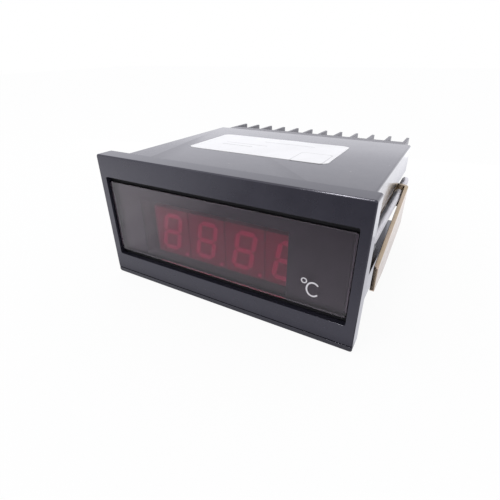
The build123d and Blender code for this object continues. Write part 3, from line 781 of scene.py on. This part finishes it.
def finishPiece(mesh, name, body, slot, replaces=(), material=None, weighted=True):
    bmesh.ops.recalc_face_normals(mesh, faces=mesh.faces[:])
    piece = objectFrom(mesh, name)
    piece.data.shade_smooth()
    piece.data.set_sharp_from_angle(angle=smoothAngle)
    piece.data.materials.append(material or finishes[slot])
    if weighted:
        tidy = piece.modifiers.new("evenNormals", "WEIGHTED_NORMAL")
        tidy.keep_sharp = True
    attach(piece, body)
    if replaces:
        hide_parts(*replaces)
    return piece


def softenedCopy(nodeName, radius, joinFaces):
    weldGap, flatAngle, sharpAngle = 2e-6, math.radians(0.8), math.radians(40)
    mesh = bmesh.new()
    mesh.from_mesh(frame["nodes"][nodeName].data)
    bmesh.ops.remove_doubles(mesh, verts=mesh.verts[:], dist=weldGap)
    if joinFaces:
        bmesh.ops.dissolve_limit(mesh, angle_limit=flatAngle, verts=mesh.verts[:], edges=mesh.edges[:])
    outward = [edge for edge in mesh.edges if len(edge.link_faces) == 2 and edge.is_convex]
    sharp = [edge for edge in outward if edge.calc_face_angle(0) > sharpAngle]
    bmesh.ops.bevel(
        mesh, geom=sharp, offset=radius, offset_type="OFFSET", segments=3, profile=0.5,
        affect="EDGES", clamp_overlap=False, loop_slide=False,
    )
    return mesh


def bridge(mesh, first, second):
    count = len(first)
    for k in range(count):
        mesh.faces.new((first[k], first[(k + 1) % count], second[(k + 1) % count], second[k]))


def capRings(mesh, rings):
    for first, second in zip(rings, rings[1:]):
        bridge(mesh, first, second)
    mesh.faces.new(rings[0])
    mesh.faces.new(rings[-1])


def joinRound(mesh, rings):
    for k in range(len(rings)):
        bridge(mesh, rings[k], rings[(k + 1) % len(rings)])


def lathe(mesh, profile, x, z, steps):
    rings = []
    for radius, y in profile:
        ring = []
        for k in range(steps):
            turn = 2 * math.pi * k / steps
            ring.append(mesh.verts.new((x + radius * math.cos(turn), y, z + radius * math.sin(turn))))
        rings.append(ring)
    capRings(mesh, rings)


def roundedRectangle(width, height, radius, steps=6, x=0.0, z=0.0):
    points = []
    for quarter, (side, up) in enumerate(((1, 1), (-1, 1), (-1, -1), (1, -1))):
        for k in range(steps + 1):
            turn = math.pi / 2 * (quarter + k / steps)
            px = x + side * (width / 2 - radius) + radius * math.cos(turn)
            pz = z + up * (height / 2 - radius) + radius * math.sin(turn)
            points.append((px, pz))
    return points


def ringAt(mesh, points, y):
    return [mesh.verts.new((px, y, pz)) for px, pz in points]


def stackRings(mesh, section, corner, middle):
    return [ringAt(mesh, roundedRectangle(w, h, corner, z=middle), y) for w, h, y in section]


def boxAt(mesh, low, high):
    spans = list(zip(low, high))
    corners = [mesh.verts.new((x, y, z)) for x in spans[0] for y in spans[1] for z in spans[2]]
    for a, b, c, d in ((0, 1, 3, 2), (4, 6, 7, 5), (0, 4, 5, 1), (2, 3, 7, 6), (0, 2, 6, 4), (1, 5, 7, 3)):
        mesh.faces.new((corners[a], corners[b], corners[c], corners[d]))


# ---- housings, softened along their moulded edges
for nodeName, radius, slot, body in (
    ("front_bezel", 0.12 * mm, "bezel_plastic", "housing"),
    ("case_sleeve", 0.15 * mm, "case_plastic", "housing"),
    ("rear_cover", 0.15 * mm, "case_plastic", "housing"),
    ("terminal_block", 0.15 * mm, "terminal_plastic", "housing"),
    ("right_clamp_bracket", 0.16 * mm, "yellow_zinc", "housing"),
    ("left_clamp_bracket", 0.16 * mm, "yellow_zinc", "housing"),
    ("terminal_screws", 0.08 * mm, "plated_metal", "housing"),
    ("terminal_washers", 0.12 * mm, "plated_metal", "housing"),
):
    joinFaces = nodeName != "terminal_block"  # merged faces around its chambers come out faulty
    softened = softenedCopy(nodeName, radius, joinFaces)
    finishPiece(softened, nodeName + "_dressed", body, slot, replaces=[nodeName])
print("housings dressed")

# ---- lens, mask and filter
lensSize = {
    "corner": 0.8 * mm,
    "edge": 0.14 * mm,
    "edgeSteps": 4,
    "padWide": 89.2 * mm,
    "padHigh": 27.2 * mm,
    "step": -4.0 * mm,
    "seatGap": 0.03 * mm,
}
borderSize = {
    "inset": 0.4 * mm,
    "gap": 0.04 * mm,
    "thick": 0.06 * mm,
    "ahead": 0.03 * mm,
    "behind": 0.01 * mm,
}


def buildLens(size):
    low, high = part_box("front_lens")
    width, height = high.x - low.x, high.z - low.z
    middle = (low.z + high.z) / 2
    padWidth, padHeight, step, edge = size["padWide"], size["padHigh"], size["step"], size["edge"]
    stations = [
        (width, height, high.y - size["seatGap"]),
        (width, height, step + edge / 2),
        (width - edge, height - edge, step),
        (padWidth, padHeight, step),
    ]
    for k in range(size["edgeSteps"] + 1):
        turn = math.pi / 2 * k / size["edgeSteps"]
        inset = 2 * edge * (1 - math.cos(turn))
        stations.append((padWidth - inset, padHeight - inset, low.y + edge * (1 - math.sin(turn))))
    mesh = bmesh.new()
    capRings(mesh, stackRings(mesh, stations, size["corner"], middle))
    return mesh


# the blacked edge of the lens, an L in section that goes round: near-black paint on the flange, and the same
# paint carried up the pad's sides as painted shade that keeps the gaps round the pad dark
def buildLensBorder(size, border):
    low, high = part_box("front_lens")
    middle = (low.z + high.z) / 2
    width, height = high.x - low.x - border["inset"], high.z - low.z - border["inset"]
    padWidth, padHeight = size["padWide"] + border["gap"], size["padHigh"] + border["gap"]
    front, rear = size["step"] - border["ahead"], size["step"] - border["behind"]
    nose = low.y + size["edge"]
    section = [(width, height, y) for y in (front, rear)]
    section += [(padWidth, padHeight, y) for y in (rear, nose)]
    section += [(padWidth + border["thick"], padHeight + border["thick"], y) for y in (nose, front)]
    mesh = bmesh.new()
    joinRound(mesh, stackRings(mesh, section, size["corner"], middle))
    return mesh


border = buildLensBorder(lensSize, borderSize)
finishPiece(buildLens(lensSize), "lens_pane", "housing", "smoked_lens", ["front_lens"])
# the border's sleeve up the pad's sides is painted shade that darkens the gaps round the pad
finishPiece(border, "lens_border_print_and_shade", "housing", "smoked_lens", material=borderPaintAndShade)

maskSize = {
    "left": -32.5 * mm,
    "right": 25.0 * mm,
    "bottom": -12.6 * mm,
    "top": 9.6 * mm,
    "widen": 2.2 * mm,
    "heighten": 1.6 * mm,
    "outerCorner": 0.8 * mm,
    "innerCorner": 0.15 * mm,
    "gap": 0.02 * mm,
}


def buildMask(size):
    low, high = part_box("display_mask")
    left, right, bottom, top = size["left"], size["right"], size["bottom"], size["top"]
    width, height = high.x - low.x + size["widen"], high.z - low.z + size["heighten"]
    outer = roundedRectangle(width, height, size["outerCorner"], z=(low.z + high.z) / 2)
    middleX, middleZ = (left + right) / 2, (top + bottom) / 2
    inner = roundedRectangle(right - left, top - bottom, size["innerCorner"], x=middleX, z=middleZ)
    front, rear = low.y + size["gap"], high.y - size["gap"]
    mesh = bmesh.new()
    section = ((outer, front), (outer, rear), (inner, rear), (inner, front))
    joinRound(mesh, [ringAt(mesh, points, y) for points, y in section])
    return mesh


finishPiece(buildMask(maskSize), "mask_print", "housing", "black_mask", ["display_mask"])

filterSize = {"corner": 0.8 * mm, "gap": 0.02 * mm}


def buildFilter(size):
    low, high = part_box("red_filter")
    width, height = high.x - low.x, high.z - low.z
    middleX, middleZ = (low.x + high.x) / 2, (low.z + high.z) / 2
    points = roundedRectangle(width, height, size["corner"], x=middleX, z=middleZ)
    mesh = bmesh.new()
    capRings(mesh, [ringAt(mesh, points, y) for y in (low.y + size["gap"], high.y)])
    return mesh


finishPiece(buildFilter(filterSize), "filter_film", "housing", "red_filter", ["red_filter"])

# ---- digit segments, in the pockets of the digit faces, in millimetres and degrees
segmentSize = {
    "length": 6.1,
    "width": 1.7,
    "gap": 0.25,
    "slant": 10.0,
    "centreZ": -2.4,
    "front": 0.58,
    "rear": 0.79,
    "pointAcross": 5.8,
    "pointRadius": 0.7,
    "pointSteps": 20,
}


def buildSegments(size):
    mesh = bmesh.new()
    shear = math.tan(math.radians(size["slant"]))
    half, reach = size["width"] / 2, size["length"] / 2
    step = size["length"] + size["gap"]
    levels = (size["front"] * mm, size["rear"] * mm)
    for number in range(1, 5):
        low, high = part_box("digit_" + str(number))
        centre = (low.x + high.x) / 2 / mm
        bars = [(0, row * step, True) for row in (-1, 0, 1)]
        bars += [(side * step, row * step, False) for row in (-0.5, 0.5) for side in (-0.5, 0.5)]
        for across, up, flat in bars:
            corners = [(-reach, 0), (half - reach, half), (reach - half, half)]
            corners += [(-a, -b) for a, b in corners]
            if not flat:
                corners = [(b, a) for a, b in corners]
            outline = [(centre + across + a + (up + b) * shear, size["centreZ"] + up + b) for a, b in corners]
            outline = [(px * mm, pz * mm) for px, pz in outline]
            capRings(mesh, [ringAt(mesh, outline, y) for y in levels])
        pointX = (centre + size["pointAcross"]) * mm
        pointZ = (size["centreZ"] - size["length"] - size["width"]) * mm
        profile = [(size["pointRadius"] * mm, y) for y in levels]
        lathe(mesh, profile, pointX, pointZ, size["pointSteps"])
    return mesh


finishPiece(buildSegments(segmentSize), "digit_segments", "housing", "digit_body", material=segmentEpoxy)

# ---- printed degree sign and C on the lens, in millimetres and degrees
printSize = {
    "ringX": 31.25,
    "ringZ": -3.9,
    "ringRadius": 0.78,
    "ringStroke": 0.36,
    "letterX": 34.15,
    "letterZ": -6.25,
    "letterWide": 1.95,
    "letterHigh": 2.3,
    "letterStroke": 0.52,
    "opening": 42.0,
    "front": -5.425,
    "rear": -5.402,
    "steps": 56,
}


def buildUnitPrint(size):
    mesh = bmesh.new()

    def stroke(centreX, centreZ, wide, high, width, start, end, closed):
        steps = size["steps"]
        sides = []
        for k in range(steps if closed else steps + 1):
            turn = math.radians(start + (end - start) * k / steps)
            px, pz = math.cos(turn), math.sin(turn)
            across = Vector((px / wide, pz / high)).normalized() * (width / 2)
            row = []
            for way, y in ((-1, size["rear"]), (-1, size["front"]), (1, size["front"]), (1, size["rear"])):
                x, z = centreX + wide * px + way * across.x, centreZ + high * pz + way * across.y
                row.append(mesh.verts.new((x * mm, y * mm, z * mm)))
            sides.append(row)
        for k in range(len(sides) if closed else len(sides) - 1):
            bridge(mesh, sides[k], sides[(k + 1) % len(sides)])
        if not closed:
            mesh.faces.new(sides[0])
            mesh.faces.new(sides[-1])

    ring = size["ringRadius"]
    stroke(size["ringX"], size["ringZ"], ring, ring, size["ringStroke"], 0, 360, True)
    stroke(
        size["letterX"], size["letterZ"], size["letterWide"], size["letterHigh"], size["letterStroke"],
        size["opening"], 360 - size["opening"], False,
    )
    return mesh


finishPiece(buildUnitPrint(printSize), "unit_print", "housing", "smoked_lens", material=printInk)
print("window ready")

# ---- blank label, slightly lifted along its rear edge
labelSize = {
    "corner": 2.5 * mm,
    "thickness": 0.11 * mm,
    "wave": 0.10 * mm,
    "waveCount": 130,
    "edgeWander": 0.35 * mm,
    "wanderCount": 90,
    "columns": 64,
    "rows": 34,
}


def buildLabel(size):
    low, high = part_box("top_label")
    width, depth = high.x - low.x, high.y - low.y
    centreX, centreY = (low.x + high.x) / 2, (low.y + high.y) / 2
    corner = size["corner"]
    mesh = bmesh.new()
    grids = []
    for lift in (0.0, size["thickness"]):
        grid = []
        for j in range(size["rows"] + 1):
            line = []
            v = (j / size["rows"] - 0.5) * depth
            over = max(0.0, abs(v) - (depth / 2 - corner))
            half = width / 2 - corner + math.sqrt(max(0.0, corner * corner - over * over))
            for i in range(size["columns"] + 1):
                u = (2 * i / size["columns"] - 1) * half
                rear = max(0.0, v / depth * 2) ** 6
                ripple = noise.noise(Vector((u * size["wanderCount"], 0.3, 0.0)))
                y = centreY + v + rear * (ripple - 0.6) * size["edgeWander"]
                swell = noise.noise(Vector((u * size["waveCount"], 4.0, 0.0)))
                bend = rear * max(0.0, swell) * size["wave"]
                line.append(mesh.verts.new((centreX + u, y, low.z + lift + bend)))
            grid.append(line)
        grids.append(grid)
    rows, columns = size["rows"], size["columns"]
    for grid in grids:
        for j in range(rows):
            for i in range(columns):
                mesh.faces.new((grid[j][i], grid[j][i + 1], grid[j + 1][i + 1], grid[j + 1][i]))
    lowGrid, highGrid = grids
    rim = [(0, i) for i in range(columns)] + [(j, columns) for j in range(rows)]
    rim += [(rows, i) for i in range(columns, 0, -1)] + [(j, 0) for j in range(rows, 0, -1)]
    for (j, i), (nextJ, nextI) in zip(rim, rim[1:] + rim[:1]):
        mesh.faces.new((lowGrid[j][i], lowGrid[nextJ][nextI], highGrid[nextJ][nextI], highGrid[j][i]))
    return mesh


# in millimetres; each rule and the frame give middle x, middle y, width and depth
labelPrint = {
    "line": 0.45,
    "lift": 0.004,
    "thick": 0.01,
    "rules": ((-16.5, 37.0, 14.0, 0.5), (-14.0, 40.5, 19.0, 0.35), (2.0, 47.5, 22.0, 0.35)),
    "ruleCorner": 0.15,
    "frame": (17.5, 31.5, 12.0, 13.0),
    "frameCorner": 1.2,
}


def buildLabelPrint(size):
    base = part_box("top_label")[0].z + labelSize["thickness"] + size["lift"] * mm
    mesh = bmesh.new()

    def loop(x, y, wide, deep, radius, up):
        points = roundedRectangle(wide * mm, deep * mm, radius * mm, x=x * mm, z=y * mm)
        return [mesh.verts.new((px, py, base + up * mm)) for px, py in points]

    thick, line = size["thick"], size["line"]
    for x, y, wide, deep in size["rules"]:
        capRings(mesh, [loop(x, y, wide, deep, size["ruleCorner"], up) for up in (0.0, thick)])
    x, y, wide, deep = size["frame"]
    rings = []
    for inset, up in ((0, 0.0), (0, thick), (line, thick), (line, 0.0)):
        rings.append(loop(x, y, wide - inset, deep - inset, size["frameCorner"], up))
    joinRound(mesh, rings)
    return mesh


finishPiece(buildLabel(labelSize), "blank_label", "housing", "label_film", ["top_label"])
finishPiece(buildLabelPrint(labelPrint), "label_rules", "housing", "label_film", material=paleInk)
print("label ready")

# ---- clamp screws with their thread, and the feet on their tips
screwSize = {
    "outer": 1.45 * mm,
    "root": 1.26 * mm,
    "pitch": 0.5 * mm,
    "steps": 22,
    "bevel": 0.25 * mm,
    "plainFrom": 2.4 * mm,
    "plainTo": 2.1 * mm,
    "threadFrom": 0.4 * mm,
    "threadless": 3.2 * mm,
    "sink": 0.02 * mm,
    "slotWidth": 0.7 * mm,
    "slotDepth": 1.0 * mm,
    "cutterReach": 3 * mm,
}


def slottedShaft(profile, x, z, steps, size):
    shaft, cutter = bmesh.new(), bmesh.new()
    lathe(shaft, profile, x, z, steps)
    end, half, reach = profile[-1][1], size["slotWidth"] / 2, size["cutterReach"]
    boxAt(cutter, (x - reach, end - size["slotDepth"], z - half), (x + reach, end + mm, z + half))
    pieces = []
    for mesh, name in ((shaft, "shaftBlank"), (cutter, "slotCutter")):
        bmesh.ops.recalc_face_normals(mesh, faces=mesh.faces[:])
        pieces.append(objectFrom(mesh, name))
    cut = pieces[0].modifiers.new("driverSlot", "BOOLEAN")
    cut.operation, cut.solver, cut.object = "DIFFERENCE", "EXACT", pieces[1]
    slotted = bmesh.new()
    slotted.from_mesh(pieces[0].evaluated_get(bpy.context.evaluated_depsgraph_get()).to_mesh())
    for piece in pieces:
        bpy.data.objects.remove(piece)
    return slotted


def buildClampScrew(nodeName, size):
    low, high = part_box(nodeName)
    x, z = (low.x + high.x) / 2, (low.z + high.z) / 2
    root, outer, pitch, steps = size["root"], size["outer"], size["pitch"], size["steps"]
    start, end, bevel = low.y, high.y, size["bevel"]
    profile = [(outer - 2 * bevel, start), (outer - bevel, start + bevel), (root, start + 2 * bevel)]
    profile += [(root, end - size["plainFrom"]), (outer, end - size["plainTo"])]
    profile += [(outer, end - bevel), (outer - bevel, end)]
    mesh = slottedShaft(profile, x, z, steps * 2, size)
    turns = int((end - start - size["threadless"]) / pitch)
    sunk = root - size["sink"]
    section = ((0.0, sunk), (0.17, outer), (0.33, outer), (0.5, sunk))
    rows = []
    for k in range(turns * steps + 1):
        turn = 2 * math.pi * k / steps
        fade = min(1.0, k / steps, (turns * steps - k) / steps)  # the thread runs out at both ends
        row = []
        for share, radius in section:
            y = start + size["threadFrom"] + pitch * (k / steps + share)
            r = sunk + (radius - sunk) * fade
            row.append(mesh.verts.new((x + r * math.cos(turn), y, z + r * math.sin(turn))))
        rows.append(row)
    for first, second in zip(rows, rows[1:]):
        for j in range(len(section) - 1):
            mesh.faces.new((first[j], first[j + 1], second[j + 1], second[j]))
    return mesh


for side in ("right", "left"):
    nodeName = side + "_clamp_screw"
    screw = buildClampScrew(nodeName, screwSize)
    name, body = nodeName + "_threaded", side + "_screw"
    finishPiece(screw, name, body, "plated_metal", [nodeName], weighted=False)

footSize = {
    "bore": 1.5 * mm,
    "floor": 0.9 * mm,
    "hollow": 0.3 * mm,
    "mouth": 0.1 * mm,
    "rearBevel": 0.15 * mm,
    "frontStart": 0.3 * mm,
    "frontKnee": 0.1 * mm,
    "frontInset": 0.35 * mm,
    "steps": 40,
}


def buildFoot(nodeName, size):
    low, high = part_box(nodeName)
    x, z = (low.x + high.x) / 2, (low.z + high.z) / 2
    outer, bore, hollow = (high.x - low.x) / 2, size["bore"], size["hollow"]
    mouth, bevel, knee = size["mouth"], size["rearBevel"], size["frontKnee"]
    floor = low.y + size["floor"]
    profile = [(hollow, floor), (bore, floor), (bore, high.y - mouth), (bore + mouth, high.y)]
    profile += [(outer - bevel, high.y), (outer, high.y - bevel), (outer, low.y + size["frontStart"])]
    profile += [(outer - knee, low.y + knee), (outer - size["frontInset"], low.y), (hollow, low.y)]
    mesh = bmesh.new()
    lathe(mesh, profile, x, z, size["steps"])
    return mesh


for side in ("right", "left"):
    nodeName = side + "_screw_foot"
    foot = buildFoot(nodeName, footSize)
    finishPiece(foot, nodeName + "_turned", side + "_foot", "foot_plastic", [nodeName])
print("clamps ready")

# ---- floor and light
studio = {
    "floorColour": (0.86, 0.86, 0.87, 1),
    "floorCloud": (0.83, 0.83, 0.84, 1),
    "floorCloudShare": 0.3,
    "floorRoughness": 0.6,
    "floorCorner": (-1.6, -1.5),
    "floorSpan": (3.2, 3.0),
    "floorCells": 40,
    "floorDrop": -24.02 * mm,
    "floorRise": 2.0 / 70.1,
    "lampGap": 0.8 * mm,
    "cameraWhite": 0.93,
    "glossyWhite": 0.95,
    "mirrorWhite": (0.93, 0.93, 1.0, 1),
    # painted shade for mirrored rays: the floor ahead of the meter and towards its right shows darker grey
    "paintedShadeGrey": (0.19, 0.19, 0.215, 1),
    "paintedShadeFrom": (-0.02, -0.13),
    "paintedShadeAcross": (-0.16, 0.03),
    # painted contact shadow for mirrored rays: a grey strip of floor right under the meter's front edge
    "paintedContactShadowGrey": (0.45, 0.45, 0.48, 1),
    "contactShadowFrom": (-0.013, -0.008),
    "contactShadowTo": (0.0, -0.004),
    "skyMirrored": (0.96, 0.96, 1.04, 1),
    "skyColour": (0.96, 0.96, 0.965, 1),
    "skyStrength": 1.0,
    "keyPower": 0.3,
    "leftPower": 0.035,
    "innerLeftPower": 0.022,
    "rightPower": 0.0215,
    "glintPower": 0.5,
    "rearPower": 0.038,
}


# the meter stands on its bezel and on the case's rear edge, so the floor rises towards the rear
def floorHeight(y):
    return studio["floorDrop"] + studio["floorRise"] * y


def floorMaterial(look):
    material, tree, shader = newMaterial("palePaper")
    grain = placeGroup(tree, mouldGrain, {"Size": 700.0, "Shift": 0.1})
    clouded = times(tree, grain["Cloud"], look["floorCloudShare"])
    colour = mixColour(tree, clouded, look["floorColour"], look["floorCloud"])
    tree.links.new(colour, shader.inputs["Base Color"])
    shader.inputs["Roughness"].default_value = look["floorRoughness"]
    path = put(tree, "ShaderNodeLightPath").outputs
    white = put(tree, "ShaderNodeEmission", {"Color": (1, 1, 1, 1), "Strength": 1.0})
    mirrored = maths(tree, "MAXIMUM", path["Is Glossy Ray"], path["Is Transmission Ray"])
    place = splitVector(tree, objectPlace(tree))
    # painted shade: for mirrored rays only, the floor ahead of the meter and towards its right turns darker
    # grey
    ahead = spread(tree, place[1], *look["paintedShadeFrom"])
    aside = spread(tree, place[0], *look["paintedShadeAcross"])
    paintedShade = times(tree, mirrored, times(tree, ahead, aside))
    # painted contact shadow: for mirrored rays only, the strip right under the front edge turns grey
    contactShadowFront = spread(tree, place[1], *look["contactShadowFrom"])
    paintedContactShadow = times(tree, contactShadowFront, spread(tree, place[1], *look["contactShadowTo"]))
    shown = mixColour(tree, mirrored, (1, 1, 1, 1), look["mirrorWhite"])
    shown = mixColour(tree, paintedShade, shown, look["paintedShadeGrey"])
    shown = mixColour(tree, times(tree, mirrored, paintedContactShadow), shown, look["paintedContactShadowGrey"])
    tree.links.new(shown, white.inputs["Color"])
    share = times(tree, path["Is Camera Ray"], look["cameraWhite"])
    share = plus(tree, share, times(tree, mirrored, look["glossyWhite"]), clamp=True)
    lit = put(tree, "ShaderNodeMixShader", {0: share, 1: shader.outputs[0], 2: white.outputs[0]})
    under = put(tree, "ShaderNodeNewGeometry").outputs["Backfacing"]
    clear = put(tree, "ShaderNodeBsdfTransparent")
    both = put(tree, "ShaderNodeMixShader", {0: under, 1: lit.outputs[0], 2: clear.outputs[0]})
    tree.links.new(both.outputs[0], tree.nodes["Material Output"].inputs["Surface"])
    return material


def buildFloor(look):
    mesh = bmesh.new()
    cells = look["floorCells"]
    (left, front), (wide, deep) = look["floorCorner"], look["floorSpan"]
    rows = []
    for j in range(cells + 1):
        y = front + deep * j / cells
        rows.append([mesh.verts.new((left + wide * i / cells, y, floorHeight(y))) for i in range(cells + 1)])
    for first, second in zip(rows, rows[1:]):
        for i in range(cells):
            mesh.faces.new((first[i], first[i + 1], second[i + 1], second[i]))
    floor = objectFrom(mesh, "studioFloor")
    floor.data.materials.append(floorMaterial(look))


def addLamp(name, place, target, size, power):
    data = bpy.data.lights.new(name, "AREA")
    data.shape = "RECTANGLE"
    data.size, data.size_y = size
    data.energy = power
    lamp = bpy.data.objects.new(name, data)
    lamp.location = place
    lamp.rotation_euler = (Vector(target) - Vector(place)).to_track_quat("-Z", "Y").to_euler()
    lamp.visible_camera = False
    bpy.context.scene.collection.objects.link(lamp)


def buildSky(look):
    world = bpy.data.worlds.new("studioSky")
    bpy.context.scene.world = world
    world.use_nodes = True
    tree = world.node_tree
    tree.nodes.clear()
    path = put(tree, "ShaderNodeLightPath").outputs
    colour = mixColour(tree, path["Is Glossy Ray"], look["skyColour"], look["skyMirrored"])
    colour = mixColour(tree, path["Is Camera Ray"], colour, (1, 1, 1, 1))
    background = put(tree, "ShaderNodeBackground", {"Color": colour, "Strength": look["skyStrength"]})
    output = put(tree, "ShaderNodeOutputWorld")
    tree.links.new(background.outputs[0], output.inputs[0])


buildFloor(studio)
buildSky(studio)
addLamp("keySoftbox", (-0.30, -0.35, 0.55), (0, 0.03, 0), (0.5, 0.4), studio["keyPower"])
# three lie on the floor and face up
for name, x, y, size, power in (
    ("leftSoftbox", -0.205, -0.10, (0.24, 0.18), studio["leftPower"]),
    ("innerLeftSoftbox", -0.16, -0.075, (0.20, 0.12), studio["innerLeftPower"]),
    ("rightSoftbox", 0.092, 0.1825, (0.068, 0.225), studio["rightPower"]),
):
    z = floorHeight(y) + studio["lampGap"]
    addLamp(name, (x, y, z), (x, y - studio["floorRise"], z + 1.0), size, power)
addLamp("glintLamp", (-0.114, -0.234, 0.668), (0.03, 0.0, 0.0), (0.09, 0.09), studio["glintPower"])
addLamp("rearSoftbox", (-0.03, 0.20, 0.015), (0.0, 0.05, 0.0), (0.5, 0.085), studio["rearPower"])
bpy.context.scene.view_settings.view_transform = "Standard"
print("studio ready")
